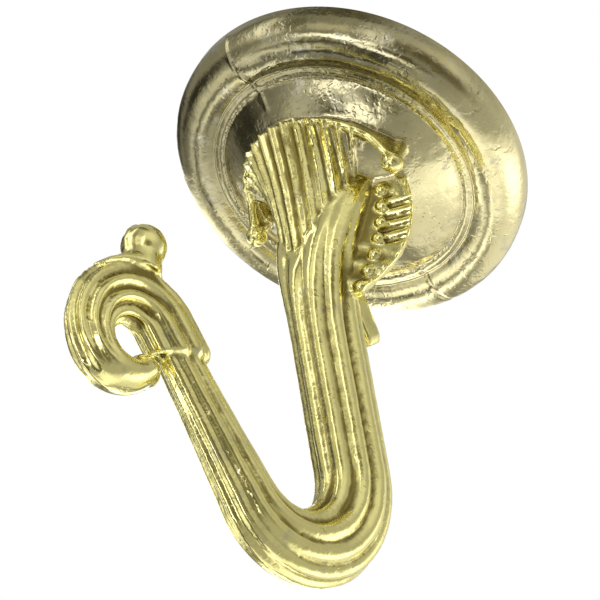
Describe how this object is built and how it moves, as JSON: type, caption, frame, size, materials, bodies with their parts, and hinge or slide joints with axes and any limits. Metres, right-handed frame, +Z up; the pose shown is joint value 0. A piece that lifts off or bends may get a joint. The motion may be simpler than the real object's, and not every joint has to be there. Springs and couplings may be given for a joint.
{
  "type": "ceiling hook",
  "caption": "Decorative cast ceiling hook: round domed base with a screw hole in its back, fluted neck with leaves, and a reeded J-shaped hook ending in a scroll with a ball.",
  "frame": {"origin": "middle of the back face of the base, at the mouth of the screw hole, on the ceiling", "axes": "+Z up along the screw hole into the ceiling; the hook bends in the XZ plane with its stem towards +X and its scroll towards -X"},
  "size_m": [0.0397, 0.038, 0.0479],
  "materials": {
    "brass_plate": "bright brass plating on a zinc die casting, mottled on the base"
  },
  "bodies": {
    "root": {"hook_casting": "brass_plate"}
  },
  "joints": []
}
